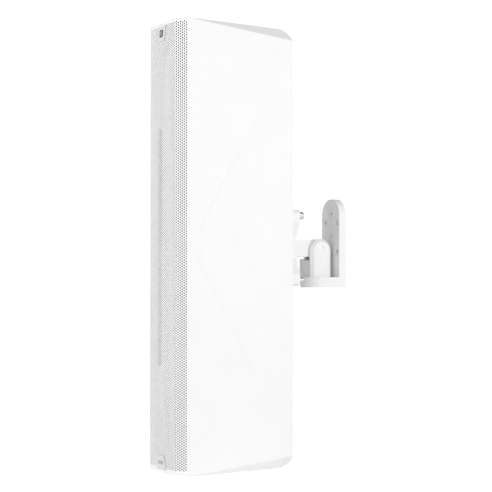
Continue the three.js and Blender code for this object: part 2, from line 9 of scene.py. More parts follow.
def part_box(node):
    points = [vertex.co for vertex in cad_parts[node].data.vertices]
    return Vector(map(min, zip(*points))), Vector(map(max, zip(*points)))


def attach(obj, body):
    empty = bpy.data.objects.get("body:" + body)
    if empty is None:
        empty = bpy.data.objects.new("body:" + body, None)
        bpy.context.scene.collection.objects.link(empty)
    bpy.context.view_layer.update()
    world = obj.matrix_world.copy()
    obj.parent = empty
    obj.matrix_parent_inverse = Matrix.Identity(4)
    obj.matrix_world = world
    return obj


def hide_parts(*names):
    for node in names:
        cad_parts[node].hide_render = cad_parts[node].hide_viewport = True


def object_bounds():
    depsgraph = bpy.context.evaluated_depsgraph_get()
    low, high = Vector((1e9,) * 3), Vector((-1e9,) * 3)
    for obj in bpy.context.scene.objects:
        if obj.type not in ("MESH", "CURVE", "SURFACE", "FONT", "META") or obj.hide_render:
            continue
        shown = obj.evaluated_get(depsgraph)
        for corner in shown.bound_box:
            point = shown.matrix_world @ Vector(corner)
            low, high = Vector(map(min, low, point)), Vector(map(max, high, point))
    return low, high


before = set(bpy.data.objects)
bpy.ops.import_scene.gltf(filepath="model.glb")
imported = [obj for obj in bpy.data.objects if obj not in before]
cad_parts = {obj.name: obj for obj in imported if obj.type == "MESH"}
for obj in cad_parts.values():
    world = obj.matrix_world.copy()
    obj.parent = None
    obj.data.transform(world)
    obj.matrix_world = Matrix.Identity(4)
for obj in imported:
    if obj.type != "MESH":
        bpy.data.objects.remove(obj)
cad_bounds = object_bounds()

# A one-metre column loudspeaker on a pan-and-tilt wall bracket. Metres, +Z up. The wall is
# the plane Y = 0 and the loudspeaker faces -Y.

MM = 0.001

# ---------------------------------------------------------------- places, from the frame

GRILLE_LO, GRILLE_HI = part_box("perforated_grille")
SHELL_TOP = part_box("cabinet_shell")[1].z
BAR_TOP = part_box("tweeter_bar")[1].z
CHAMFER = 21 * MM
HALF_W = GRILLE_HI.x
SHELL_Y = GRILLE_HI.y
FRONT_Y = SHELL_Y - CHAMFER
FOLD = FRONT_Y - GRILLE_LO.y
FOLD_HALF = 340 * MM
FLAT_HALF = HALF_W - CHAMFER
WRAP_HALF = FLAT_HALF + CHAMFER * math.sqrt(2)
BADGE_FACE = 2.3 * MM

SHEET_T = 0.5 * MM
SHEET_CREASE = math.radians(8)
HOLE_PITCH = 5.5 * MM
COLUMN_PITCH = HOLE_PITCH * math.sqrt(3) / 2
HOLE_R = 1.65 * MM
SLOT_HOLE_R = 1.95 * MM
CORNER_COLUMNS = 6
EDGE_MARGIN = 1.2 * MM
END_MARGIN = 3 * MM
HOLE_SIDES = 8
HOLE_TURNS = (np.arange(HOLE_SIDES) + 0.5) * math.tau / HOLE_SIDES

FOAM_SLOT_HALF = 11 * MM
FOAM_SLOT_TOP = BAR_TOP - 4 * MM
FOAM_INSETS = (1.3 * MM, 3.8 * MM)
FOAM_EDGE = FLAT_HALF - 2 * MM
GAUZE_HALF = 10.5 * MM
GAUZE_TOP = BAR_TOP - 4.5 * MM
GAUZE_INSETS = (0.65 * MM, 0.85 * MM)
# Where the painted-shade strips under the chamfers begin across the front and where they end in height.
CHAMFER_SHADE_INNER = FLAT_HALF + 0.8 * MM
CHAMFER_SHADE_END = GRILLE_HI.z - 4 * MM
BACKING_CREASE = math.radians(40)

PAD_CUTS = 11
PAD_EDGE = 0.55
PAD_CROWN = 0.37
PAD_DIMPLE = 0.08
PAD_TUCK = 0.03

# ---------------------------------------------------------------- camera and stage

LENS = 98.0
SENSOR = 36.0
CAMERA_AT = (2.722, -1.677, -0.075)
CAMERA_AZIMUTH = math.radians(62.25)
CAMERA_PITCH = math.radians(1.48)
FLOOR_GAP = 0.5 * MM
FLOOR_RADIUS = 30.0
FLOOR_SIDES = 96

WHITE = (1, 1, 1, 1)
BACKDROP_STRENGTH = 1.1
GLOW_BY_HEIGHT = {"from_min": 0.0, "from_max": 0.8, "to_min": 1.0, "to_max": 0.50}
GLOW_ACROSS = {"from_min": -0.9, "from_max": 0.3, "to_min": 0.38, "to_max": 0.95}
FLOOR_GLOW = {"from_min": 0.0, "from_max": 1.0, "to_min": 0.12, "to_max": 0.62}
KEY_LIGHT = {"place": (3.6, 0.5, 0.5), "target": (0, -0.25, 0.0), "size": (2.4, 2.2), "power": 48}
FILL_LIGHT = {"place": (-0.6, -3.6, 0.6), "target": (0, -0.3, 0.0), "size": (2.6, 2.2), "power": 54}


def make_camera():
    data = bpy.data.cameras.new("camera")
    data.lens = LENS
    data.sensor_width = SENSOR
    camera = bpy.data.objects.new("camera", data)
    camera.location = CAMERA_AT
    level = math.cos(CAMERA_PITCH)
    look = Vector((
        -math.sin(CAMERA_AZIMUTH) * level,
        math.cos(CAMERA_AZIMUTH) * level,
        math.sin(CAMERA_PITCH),
    ))
    camera.rotation_mode = "QUATERNION"
    camera.rotation_quaternion = look.to_track_quat("-Z", "Y")
    bpy.context.scene.collection.objects.link(camera)
    bpy.context.scene.camera = camera


def area_light(name, place, target, size, power):
    data = bpy.data.lights.new(name, "AREA")
    data.shape = "RECTANGLE"
    data.size, data.size_y = size
    data.energy = power
    lamp = bpy.data.objects.new(name, data)
    lamp.location = place
    lamp.rotation_mode = "QUATERNION"
    lamp.rotation_quaternion = (Vector(target) - Vector(place)).to_track_quat("-Z", "Y")
    lamp.visible_camera = False
    bpy.context.scene.collection.objects.link(lamp)


def map_range(nodes, from_min, from_max, to_min, to_max):
    node = nodes.new("ShaderNodeMapRange")
    node.inputs["From Min"].default_value = from_min
    node.inputs["From Max"].default_value = from_max
    node.inputs["To Min"].default_value = to_min
    node.inputs["To Max"].default_value = to_max
    return node


def background(nodes):
    node = nodes.new("ShaderNodeBackground")
    node.inputs["Color"].default_value = WHITE
    return node


def make_world():
    """A white backdrop for the camera. The light is weaker from above and from the far side."""
    world = bpy.data.worlds.new("studio")
    world.use_nodes = True
    nodes, links = world.node_tree.nodes, world.node_tree.links
    nodes.clear()
    seen, glow = background(nodes), background(nodes)
    seen.inputs["Strength"].default_value = BACKDROP_STRENGTH
    coords = nodes.new("ShaderNodeTexCoord")
    split = nodes.new("ShaderNodeSeparateXYZ")
    rise = map_range(nodes, **GLOW_BY_HEIGHT)
    across = map_range(nodes, **GLOW_ACROSS)
    level = nodes.new("ShaderNodeMath")
    level.operation = "MULTIPLY"
    path = nodes.new("ShaderNodeLightPath")
    mix = nodes.new("ShaderNodeMixShader")
    out = nodes.new("ShaderNodeOutputWorld")
    links.new(coords.outputs["Generated"], split.inputs[0])
    links.new(split.outputs["Z"], rise.inputs["Value"])
    links.new(split.outputs["X"], across.inputs["Value"])
    links.new(rise.outputs["Result"], level.inputs[0])
    links.new(across.outputs["Result"], level.inputs[1])
    links.new(level.outputs[0], glow.inputs["Strength"])
    links.new(path.outputs["Is Camera Ray"], mix.inputs["Fac"])
    links.new(glow.outputs[0], mix.inputs[1])
    links.new(seen.outputs[0], mix.inputs[2])
    links.new(mix.outputs[0], out.inputs["Surface"])
    bpy.context.scene.world = world


def floor_material():
    """Pale and matt, lifted to white where the camera sees it."""
    material = bpy.data.materials.new("stage_floor")
    material.use_nodes = True
    nodes, links = material.node_tree.nodes, material.node_tree.links
    shader = nodes["Principled BSDF"]
    shader.inputs["Base Color"].default_value = (0.92, 0.92, 0.92, 1)
    shader.inputs["Roughness"].default_value = 0.9
    shader.inputs["Specular IOR Level"].default_value = 0.1
    shader.inputs["Emission Color"].default_value = WHITE
    path = nodes.new("ShaderNodeLightPath")
    seen = map_range(nodes, **FLOOR_GLOW)
    links.new(path.outputs["Is Camera Ray"], seen.inputs["Value"])
    links.new(seen.outputs["Result"], shader.inputs["Emission Strength"])
    return material


def make_floor():
    bm = bmesh.new()
    bmesh.ops.create_circle(bm, cap_ends=True, segments=FLOOR_SIDES, radius=FLOOR_RADIUS)
    mesh = bpy.data.meshes.new("floor")
    bm.to_mesh(mesh)
    bm.free()
    mesh.materials.append(floor_material())
    floor = bpy.data.objects.new("floor", mesh)
    floor.location.z = cad_bounds[0].z - FLOOR_GAP
    bpy.context.scene.collection.objects.link(floor)


def make_stage():
    make_world()
    make_floor()
    area_light("key", **KEY_LIGHT)
    area_light("fill", **FILL_LIGHT)
    bpy.context.scene.view_settings.view_transform = "Standard"


# ---------------------------------------------------------------- materials


# Most of a noise's values lie between these.
NOISE_LOW = 0.3
NOISE_HIGH = 0.7


class Finish:
    """A Principled material that is built up from procedural textures in object space."""

    def __init__(self, name, roughness, metallic=0.0, specular=0.5, coat=0.0):
        self.material = bpy.data.materials.new(name)
        self.material.use_nodes = True
        self.nodes = self.material.node_tree.nodes
        self.links = self.material.node_tree.links
        self.shader = self.nodes["Principled BSDF"]
        self.shader.inputs["Roughness"].default_value = roughness
        self.shader.inputs["Metallic"].default_value = metallic
        self.shader.inputs["Specular IOR Level"].default_value = specular
        self.shader.inputs["Coat Weight"].default_value = coat
        self.coords = self.nodes.new("ShaderNodeTexCoord").outputs["Object"]
        self.normal = None

    def stretched(self, scale):
        mapping = self.nodes.new("ShaderNodeMapping")
        mapping.inputs["Scale"].default_value = scale
        self.links.new(self.coords, mapping.inputs["Vector"])
        return mapping.outputs["Vector"]

    def noise(self, size, detail=3.0, stretch=(1, 1, 1)):
        """Noise with features of about this size in metres, as a factor."""
        texture = self.nodes.new("ShaderNodeTexNoise")
        texture.inputs["Scale"].default_value = 1 / size
        texture.inputs["Detail"].default_value = detail
        self.links.new(self.stretched(stretch), texture.inputs["Vector"])
        return texture.outputs["Fac"]

    def cells(self, size):
        texture = self.nodes.new("ShaderNodeTexVoronoi")
        texture.inputs["Scale"].default_value = 1 / size
        self.links.new(self.stretched((1, 1, 1)), texture.inputs["Vector"])
        return texture.outputs["Distance"]

    def bands(self, size, axis):
        texture = self.nodes.new("ShaderNodeTexWave")
        texture.bands_direction = axis
        texture.inputs["Scale"].default_value = 1 / size / math.tau
        texture.inputs["Distortion"].default_value = 0.6
        self.links.new(self.stretched((1, 1, 1)), texture.inputs["Vector"])
        return texture.outputs["Fac"]

    def ramp(self, factor, start, end, from_value=NOISE_LOW, to_value=NOISE_HIGH):
        """Runs between two colours as the factor goes between two values."""
        ramp = self.nodes.new("ShaderNodeValToRGB")
        ramp.color_ramp.elements[0].position = from_value
        ramp.color_ramp.elements[0].color = (*start, 1)
        ramp.color_ramp.elements[1].position = to_value
        ramp.color_ramp.elements[1].color = (*end, 1)
        self.links.new(factor, ramp.inputs["Fac"])
        return ramp.outputs["Color"]

    def colour(self, socket):
        self.links.new(socket, self.shader.inputs["Base Color"])
        return self

    def roughen(self, factor, low, high):
        span = map_range(self.nodes, NOISE_LOW, NOISE_HIGH, low, high)
        self.links.new(factor, span.inputs["Value"])
        self.links.new(span.outputs["Result"], self.shader.inputs["Roughness"])
        return self

    def emboss(self, factor, depth):
        """Adds relief of this depth in metres. A later call adds to an earlier one."""
        bump = self.nodes.new("ShaderNodeBump")
        bump.inputs["Strength"].default_value = 1.0
        bump.inputs["Distance"].default_value = depth
        self.links.new(factor, bump.inputs["Height"])
        if self.normal is not None:
            self.links.new(self.normal, bump.inputs["Normal"])
        self.normal = bump.outputs["Normal"]
        self.links.new(self.normal, self.shader.inputs["Normal"])
        return self


def grey(value):
    return (value, value, value)


def coated(name, light, dark, roughness, peel, depth, specular=0.4):
    """Paint or powder coat: faint patches of tone over a fine orange peel."""
    made = Finish(name, roughness, specular=specular)
    made.colour(made.ramp(made.noise(0.09, 2.0), dark, light))
    fine = made.noise(peel, 4.0)
    made.roughen(fine, roughness - 0.06, roughness + 0.08)
    return made.emboss(fine, depth).material


def moulded(name, light, dark, roughness, grain=0.5 * MM, depth=0.03 * MM):
    """Moulded plastic or coated metal with a fine spark-eroded grain."""
    made = Finish(name, roughness, specular=0.45)
    made.colour(made.ramp(made.noise(0.03, 3.0), dark, light))
    grains = made.noise(grain, 2.0)
    made.roughen(grains, roughness - 0.1, roughness + 0.1)
    return made.emboss(grains, depth).material


def metal(name, light, dark, low, high, stretch=(1, 1, 1)):
    """Plated or bare metal with fine drawn lines along one direction."""
    made = Finish(name, low, metallic=1.0)
    lines = made.noise(1.2 * MM, 5.0, stretch)
    made.colour(made.ramp(made.noise(0.02, 3.0), dark, light))
    made.roughen(lines, low, high)
    return made.emboss(lines, 0.006 * MM).material


def foam(name, light, dark, pore):
    """Open-cell foam: dark pores between lighter struts."""
    made = Finish(name, 0.95, specular=0.1)
    pores = made.cells(pore)
    made.colour(made.ramp(pores, dark, light, 0.12, 0.55))
    made.emboss(pores, 0.4 * MM)
    return made.emboss(made.noise(6 * MM, 3.0), 0.5 * MM).material


def fibrous(name, light, dark, fibre, stretch, roughness=0.85):
    """Paper pulp, pressed fibre or board."""
    made = Finish(name, roughness, specular=0.25)
    strands = made.noise(fibre, 5.0, stretch)
    made.colour(made.ramp(strands, dark, light))
    made.roughen(strands, roughness - 0.1, min(roughness + 0.08, 1.0))
    return made.emboss(strands, 0.08 * MM).material


def wound(name):
    """Copper wire, wound in rows."""
    made = Finish(name, 0.32, metallic=0.9)
    rows = made.bands(0.9 * MM, "Y")
    made.colour(made.ramp(rows, (0.28, 0.09, 0.03), (0.72, 0.34, 0.16), 0.1, 0.7))
    made.roughen(made.noise(2 * MM), 0.25, 0.45)
    return made.emboss(rows, 0.35 * MM).material


def solder_mask(name):
    """Green solder mask over raised tracks."""
    made = Finish(name, 0.35, specular=0.5, coat=0.3)
    texture = made.nodes.new("ShaderNodeTexBrick")
    texture.inputs["Scale"].default_value = 1 / (9 * MM)
    texture.inputs["Mortar Size"].default_value = 0.04
    texture.inputs["Color1"].default_value = (0.02, 0.12, 0.06, 1)
    texture.inputs["Color2"].default_value = (0.03, 0.16, 0.08, 1)
    texture.inputs["Mortar"].default_value = (0.10, 0.30, 0.14, 1)
    turn = made.nodes.new("ShaderNodeMapping")
    turn.inputs["Rotation"].default_value = (math.pi / 2, 0, 0)
    made.links.new(made.coords, turn.inputs["Vector"])
    made.links.new(turn.outputs["Vector"], texture.inputs["Vector"])
    made.colour(texture.outputs["Color"])
    made.roughen(made.noise(1.5 * MM), 0.3, 0.45)
    return made.emboss(texture.outputs["Fac"], 0.05 * MM).material


def make_materials():
    return {
        "paint": coated("white_paint", grey(0.90), grey(0.885), 0.42, 1.1 * MM, 0.02 * MM),
        "grille": coated("white_grille", grey(0.90), grey(0.88), 0.45, 0.7 * MM, 0.012 * MM),
        "casting": coated("white_casting", grey(0.89), grey(0.865), 0.48, 1.6 * MM, 0.05 * MM),
        # The badge paint is a grey copy of the white paint: painted shade, standing in for the shaded tone
        # of the white plates.
        "badge": coated("badge_face", grey(0.74), grey(0.70), 0.3, 0.5 * MM, 0.006 * MM, 0.5),
        "foam": foam("grille_foam", grey(0.36), grey(0.20), 0.9 * MM),
        # Black gauze in front of the tweeters; the same black also makes the strips under the chamfers,
        # which are painted shade for the dark cavity behind the corner holes.
        "gauze_and_shade": fibrous("black_gauze_and_painted_shade", grey(0.018), grey(0.008), 0.6 * MM, (1, 1, 1)),
        "wadding": foam("damping_foam", grey(0.16), grey(0.05), 1.6 * MM),
        "board": fibrous("baffle_board", grey(0.035), grey(0.02), 1.2 * MM, (1, 1, 1)),
        "plastic": moulded("black_plastic", grey(0.024), grey(0.016), 0.5),
        "panel": moulded("panel_black", grey(0.03), grey(0.02), 0.42, 0.3 * MM, 0.02 * MM),
        "cone": fibrous("cone", grey(0.035), grey(0.015), 1.0 * MM, (1, 0.4, 1), 0.75),
        "rubber": moulded("surround_rubber", grey(0.015), grey(0.01), 0.6, 0.4 * MM),
        "frame": moulded("cast_frame", grey(0.035), grey(0.022), 0.5, 0.9 * MM, 0.05 * MM),
        "magnet": moulded("magnet", grey(0.07), grey(0.045), 0.4, 1.5 * MM, 0.04 * MM),
        "circuit": solder_mask("circuit_board"),
        "copper": wound("copper"),
        "steel": metal("steel", grey(0.80), grey(0.70), 0.10, 0.22, (1, 0.15, 1)),
        "brass": metal("brass", (0.80, 0.58, 0.28), (0.66, 0.45, 0.20), 0.2, 0.35),
        "fibre": fibrous("fibre", (0.48, 0.33, 0.17), (0.33, 0.21, 0.10), 0.8 * MM, (1, 1, 1)),
        "mark": moulded("dark_mark", grey(0.06), grey(0.045), 0.35, 0.3 * MM, 0.01 * MM),
        "soft_mark": moulded("grey_mark", grey(0.42), grey(0.36), 0.4, 0.3 * MM, 0.01 * MM),
        "print": moulded("print", grey(0.75), grey(0.66), 0.5, 0.3 * MM, 0.01 * MM),
    }


# ---------------------------------------------------------------- mesh helpers

SMOOTH_ANGLE = math.radians(35)
FLAT_ANGLE = math.radians(0.2)
PIECE_BEVEL_ANGLE = 30
MERGE_DISTANCE = 1e-7


def smooth_group():
    """Geometry nodes that shade a CAD node smooth, apart from its sharp edges."""
    tree = bpy.data.node_groups.new("smooth_by_angle", "GeometryNodeTree")
    for way in ("INPUT", "OUTPUT"):
        tree.interface.new_socket("Geometry", in_out=way, socket_type="NodeSocketGeometry")
    start = tree.nodes.new("NodeGroupInput")
    end = tree.nodes.new("NodeGroupOutput")
    faces = tree.nodes.new("GeometryNodeSetShadeSmooth")
    edges = tree.nodes.new("GeometryNodeSetShadeSmooth")
    edges.domain = "EDGE"
    measured = tree.nodes.new("GeometryNodeInputMeshEdgeAngle")
    gentle = tree.nodes.new("FunctionNodeCompare")
    gentle.operation = "LESS_EQUAL"
    gentle.inputs["B"].default_value = SMOOTH_ANGLE
    tree.links.new(start.outputs[0], faces.inputs["Geometry"])
    tree.links.new(faces.outputs[0], edges.inputs["Geometry"])
    tree.links.new(measured.outputs["Unsigned Angle"], gentle.inputs["A"])
    tree.links.new(gentle.outputs["Result"], edges.inputs["Shade Smooth"])
    tree.links.new(edges.outputs[0], end.inputs[0])
    return tree


SMOOTH = smooth_group()


def round_edges(obj, width, segments=2, angle=50):
    """Rounds the edges sharper than the angle, and keeps the flats flat in shading."""
    bevel = obj.modifiers.new("rounded_edges", "BEVEL")
    bevel.width = width
    bevel.segments = segments
    bevel.limit_method = "ANGLE"
    bevel.angle_limit = math.radians(angle)
    bevel.miter_outer = "MITER_ARC"


def shade(obj):
    smooth = obj.modifiers.new("smooth", "NODES")
    smooth.node_group = SMOOTH
    even = obj.modifiers.new("even_normals", "WEIGHTED_NORMAL")
    even.keep_sharp = True
    even.weight = 80


def refine(node, material, width=0.0, segments=2, angle=50):
    """Dresses a CAD node: a material, merged flats, and small rounded edges."""
    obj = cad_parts[node]
    if obj.material_slots:
        obj.material_slots[0].material = material
    else:
        obj.data.materials.append(material)
    flats = obj.modifiers.new("merged_flats", "DECIMATE")
    flats.decimate_type = "DISSOLVE"
    flats.angle_limit = FLAT_ANGLE
    if width:
        round_edges(obj, width, segments, angle)
    shade(obj)


def new_piece(name, vertices, faces, material, body="loudspeaker", slot=None, stands_for=()):
    mesh = bpy.data.meshes.new(name)
    mesh.from_pydata(vertices, [], faces)
    mesh.validate()
    mesh.materials.append(material)
    obj = bpy.data.objects.new(name, mesh)
    bpy.context.scene.collection.objects.link(obj)
    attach(obj, body)
    if stands_for:
        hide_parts(*stands_for)
    return obj


class Shape:
    """Vertices and faces of one piece, gathered from simple closed forms."""

    def __init__(self):
        self.vertices, self.faces = [], []

    def add(self, vertices, faces):
        start = len(self.vertices)
        self.vertices += [tuple(v) for v in vertices]
        self.faces += [tuple(start + i for i in face) for face in faces]
        return self

    def block(self, low, high):
        xs, ys, zs = zip(low, high)
        corners = [(x, y, z) for z in zs for y in ys for x in xs]
        sides = [(0, 2, 3, 1), (4, 5, 7, 6), (0, 1, 5, 4), (2, 6, 7, 3), (0, 4, 6, 2), (1, 3, 7, 5)]
        return self.add(corners, sides)

    def lathe(self, profile, axis, centre, segments=48):
        """A profile of (radius, distance along the axis) in millimetres, turned about an axis.

        It starts and ends on the axis, or closes on itself.
        """
        rings, vertices, faces = [], [], []
        for radius, along in profile:
            count = segments if radius > 0 else 1
            rings.append(range(len(vertices), len(vertices) + count))
            for i in range(count):
                turn = math.tau * i / segments
                a, b = radius * math.cos(turn) * MM, radius * math.sin(turn) * MM
                local = {"X": (along * MM, a, b), "Y": (b, along * MM, a), "Z": (a, b, along * MM)}[axis]
                vertices.append(tuple(c + v for c, v in zip(centre, local)))
        for low, high in zip(rings, rings[1:]):
            for i in range(segments):
                j = (i + 1) % segments
                corners = [low[i % len(low)], low[j % len(low)], high[j % len(high)], high[i % len(high)]]
                face = list(dict.fromkeys(corners))
                if len(face) > 2:
                    faces.append(face)
        return self.add(vertices, faces)

    def on_facet(self, side):
        """Leans the shape from the plane Y = 0 onto the face of a badge, heights from the end."""
        lean = math.atan(FOLD / (SHELL_TOP - FOLD_HALF))
        turn = Matrix.Rotation(-side * lean, 3, "X")
        end = Vector((0, FRONT_Y, side * SHELL_TOP))
        lift = Vector((0, -BADGE_FACE, 0))
        self.vertices = [tuple(turn @ (Vector(v) + lift) + end) for v in self.vertices]
        return self

    def make(self, name, material, width=0.0, **options):
        obj = new_piece(name, self.vertices, self.faces, material, **options)
        bm = bmesh.new()
        bm.from_mesh(obj.data)
        bmesh.ops.remove_doubles(bm, verts=bm.verts, dist=MERGE_DISTANCE)
        bmesh.ops.recalc_face_normals(bm, faces=bm.faces)
        bm.to_mesh(obj.data)
        bm.free()
        if width:
            round_edges(obj, width, angle=PIECE_BEVEL_ANGLE)
        shade(obj)


# ---------------------------------------------------------------- grille


def fold_height(x, z):
    """How far the front stands forward: a fold that forks to the corners at both ends."""
    flanks = FOLD * (1 - np.abs(x) / FLAT_HALF)
    facets = FOLD * (SHELL_TOP - np.abs(z)) / (SHELL_TOP - FOLD_HALF)
    return np.minimum(flanks, facets)


def wrap(u, z, inset):
    """X and Y of the front at a distance u along its plan and a height z, at an inset."""
    size = np.abs(u)
    across = np.clip(size - FLAT_HALF, 0, None) / (WRAP_HALF - FLAT_HALF)
    flat_end = FLAT_HALF - inset * (math.sqrt(2) - 1)
    flat = np.minimum(size / FLAT_HALF, 1) * flat_end
    side = HALF_W - inset * math.sqrt(2)
    y = FRONT_Y + inset + (CHAMFER - inset) * across - fold_height(np.minimum(size, FLAT_HALF), z)
    return np.sign(u) * (flat + (side - flat_end) * across), y


def ring_strip(outer, inner):
    """Triangles between two rings of points in a plane, both counter-clockwise."""
    at = [math.atan2(p[1], p[0]) % math.tau for p in outer]
    within = [math.atan2(p[1], p[0]) % math.tau for p in inner]
    a = sorted(range(len(outer)), key=at.__getitem__)
    b = sorted(range(len(inner)), key=within.__getitem__)
    i = j = 0
    triangles = []
    while i < len(a) or j < len(b):
        next_a = at[a[i % len(a)]] + math.tau * (i // len(a)) if i < len(a) else math.inf
        next_b = within[b[j % len(b)]] + math.tau * (j // len(b)) if j < len(b) else math.inf
        if next_a <= next_b:
            triangles.append((("a", a[i - 1]), ("a", a[i]), ("b", b[j - 1])))
            i += 1
        else:
            triangles.append((("a", a[i - 1]), ("b", b[j]), ("b", b[j - 1])))
            j += 1
    return triangles


def hole_columns(wide):
    """Distances along the plan between the columns of holes, over the flats and the chamfers."""
    corner = (WRAP_HALF - FLAT_HALF - EDGE_MARGIN) / CORNER_COLUMNS
    half = [wide * i for i in range(round(FLAT_HALF / COLUMN_PITCH) + 1)]
    half += [FLAT_HALF + corner * i for i in range(1, CORNER_COLUMNS + 1)] + [WRAP_HALF]
    return np.array([*(-v for v in half[:0:-1]), *half])


def hole_levels(step):
    """Heights at half the holes' pitch, with the plain margins at both ends."""
    height = GRILLE_HI.z - GRILLE_LO.z
    levels = 2 * int((height - END_MARGIN) / HOLE_PITCH)
    first = GRILLE_LO.z + (height - levels * step) / 2
    return np.array([GRILLE_LO.z, *(first + step * np.arange(levels + 1)), GRILLE_HI.z])


def hole_radius(u, z):
    in_slot = abs(u) < GAUZE_HALF and abs(z) < GAUZE_TOP
    return SLOT_HOLE_R if in_slot else HOLE_R


def sheet_face():
    """The sheet's face with staggered holes: plan distances, heights, faces and open edges."""
    wide = FLAT_HALF / round(FLAT_HALF / COLUMN_PITCH)
    step = HOLE_PITCH / 2
    lines, heights = hole_columns(wide), hole_levels(step)
    rows, cols = len(heights), len(lines)
    grid = np.arange(rows * cols).reshape(rows, cols)
    round_u, round_z = np.cos(HOLE_TURNS), np.sin(HOLE_TURNS)
    half = wide / 2
    cell = [(-half, -step), (half, -step), (half, 0), (half, step), (-half, step), (-half, 0)]
    strip = ring_strip(cell, list(zip(HOLE_R * round_u, HOLE_R * round_z)))

    u, z = [np.tile(lines, rows)], [np.repeat(heights, cols)]
    faces, walls, used = [], [], np.zeros((rows - 1, cols - 1), bool)
    count = grid.size
    for c in range(1, cols - 2):
        for r in range(1 + (c - 1) % 2, rows - 3, 2):
            used[r:r + 2, c] = True
            low, mid, top = grid[r:r + 3, c:c + 2]
            edge = [low[0], low[1], mid[1], top[1], top[0], mid[0]]
            ids = {"a": edge, "b": range(count, count + HOLE_SIDES)}
            faces += [tuple(int(ids[kind][i]) for kind, i in tri) for tri in strip]
            walls += [(count + i, count + (i + 1) % HOLE_SIDES) for i in range(HOLE_SIDES)]
            at_u, at_z = (lines[c] + lines[c + 1]) / 2, heights[r + 1]
            radius = hole_radius(at_u, at_z)
            u.append(at_u + radius * round_u)
            z.append(at_z + radius * round_z)
            count += HOLE_SIDES
    for r, c in zip(*np.nonzero(~used)):
        quad = (grid[r, c], grid[r, c + 1], grid[r + 1, c + 1], grid[r + 1, c])
        faces.append(tuple(int(i) for i in quad))
    border = [*grid[0], *grid[1:, -1], *grid[-1, -2::-1], *grid[-2:0:-1, 0]]
    walls += [(int(b), int(a)) for a, b in zip(border, border[1:] + border[:1])]
    return np.concatenate(u), np.concatenate(z), faces, walls


def perforated_grille(material):
    """The wrap-round sheet with its round holes, as one closed solid."""
    u, z, faces, walls = sheet_face()
    count = len(u)
    sides = [np.stack([*wrap(u, z, inset), z], 1) for inset in (0, SHEET_T)]
    back = [tuple(i + count for i in reversed(face)) for face in faces]
    edges = [(a, b, b + count, a + count) for a, b in walls]
    sheet = new_piece(
        "grille_sheet", np.concatenate(sides).tolist(), faces + back + edges, material,
        slot="white_grille", stands_for=["perforated_grille"],
    )
    sheet.data.shade_smooth()
    sheet.data.set_sharp_from_angle(angle=SHEET_CREASE)


def wrapped_solid(name, us, zs, kept, insets, material, slot, stands_for=()):
    """A thin closed solid that follows the fold, made of the kept cells of a grid."""
    grid = np.arange(len(us) * len(zs)).reshape(len(zs), len(us))
    count = grid.size
    faces = []
    for r, c in zip(*np.nonzero(kept)):
        quad = [int(grid[r, c]), int(grid[r, c + 1]), int(grid[r + 1, c + 1]), int(grid[r + 1, c])]
        faces.append(quad)
        faces.append([i + count for i in reversed(quad)])
        around = [(r - 1, c), (r, c + 1), (r + 1, c), (r, c - 1)]
        for side, (nr, nc) in enumerate(around):
            inside = 0 <= nr < kept.shape[0] and 0 <= nc < kept.shape[1] and kept[nr, nc]
            if not inside:
                a, b = quad[side], quad[(side + 1) % 4]
                faces.append([b, a, a + count, b + count])
    u, z = np.tile(us, len(zs)), np.repeat(zs, len(us))
    points = np.concatenate([np.stack([*wrap(u, z, inset), z], 1) for inset in insets])
    keep = sorted({i for face in faces for i in face})
    place = {old: new for new, old in enumerate(keep)}
    faces = [[place[i] for i in face] for face in faces]
    sheet = new_piece(name, points[keep].tolist(), faces, material, slot=slot, stands_for=stands_for)
    sheet.data.shade_smooth()
    sheet.data.set_sharp_from_angle(angle=BACKING_CREASE)
    return sheet


def middles(values):
    """How far the middles of a row of cells lie from zero."""
    return np.abs(values[1:] + values[:-1]) / 2


def wrapped_foam(material):
    """The foam behind the grille, open where the tweeters stand."""
    low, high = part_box("grille_foam")
    flat = np.linspace(FOAM_SLOT_HALF, FOAM_EDGE, 12)
    us = np.concatenate([-flat[::-1], [0], flat])
    lower = np.linspace(low.z, -FOAM_SLOT_TOP, 24)
    between = np.linspace(-FOAM_SLOT_TOP, FOAM_SLOT_TOP, 54)[1:-1]
    upper = np.linspace(FOAM_SLOT_TOP, high.z, 24)
    zs = np.concatenate([lower, between, upper])
    beside = middles(us)[None, :] >= FOAM_SLOT_HALF
    kept = beside | (middles(zs)[:, None] >= FOAM_SLOT_TOP)
    sheet = wrapped_solid(
        "grille_foam_sheet", us, zs, kept, FOAM_INSETS, material, "grille_foam", ["grille_foam"]
    )


def backing_gauze_and_shade(material):
    """Black gauze close behind the sheet in front of the tweeters, and under both chamfers a black strip
    that is painted shade for the dark cavity behind the corner holes.
    """
    chamfer = np.linspace(CHAMFER_SHADE_INNER, WRAP_HALF - 2 * MM, 4)
    us = np.concatenate([-chamfer[::-1], np.linspace(-GAUZE_HALF, GAUZE_HALF, 7), chamfer])
    zs = np.concatenate([[-CHAMFER_SHADE_END], np.linspace(-GAUZE_TOP, GAUZE_TOP, 90), [CHAMFER_SHADE_END]])
    in_slot = (middles(us)[None, :] < GAUZE_HALF) & (middles(zs)[:, None] < GAUZE_TOP)
    # The strips under the chamfers are painted shade.
    kept = in_slot | (middles(us)[None, :] > CHAMFER_SHADE_INNER)
    wrapped_solid("grille_gauze_and_painted_shade", us, zs, kept, GAUZE_INSETS, material, "black_plastic")


def wadding_point(x, y, z):
    """A point of the cube from -1 to 1, pressed into the pad's shape: flat at the back."""
    pillow = (1 - abs(x) ** 5) ** 0.35 * (1 - abs(z) ** 9) ** 0.35
    dimple = PAD_DIMPLE * math.cos(3 * math.pi * z) * math.cos(math.pi * x)
    depth = (PAD_EDGE + PAD_CROWN * pillow + dimple * pillow) if y < 0 else 1.0
    pull = 1 - PAD_TUCK * (1 - abs(y))
    return x * pull, y * depth, z * pull


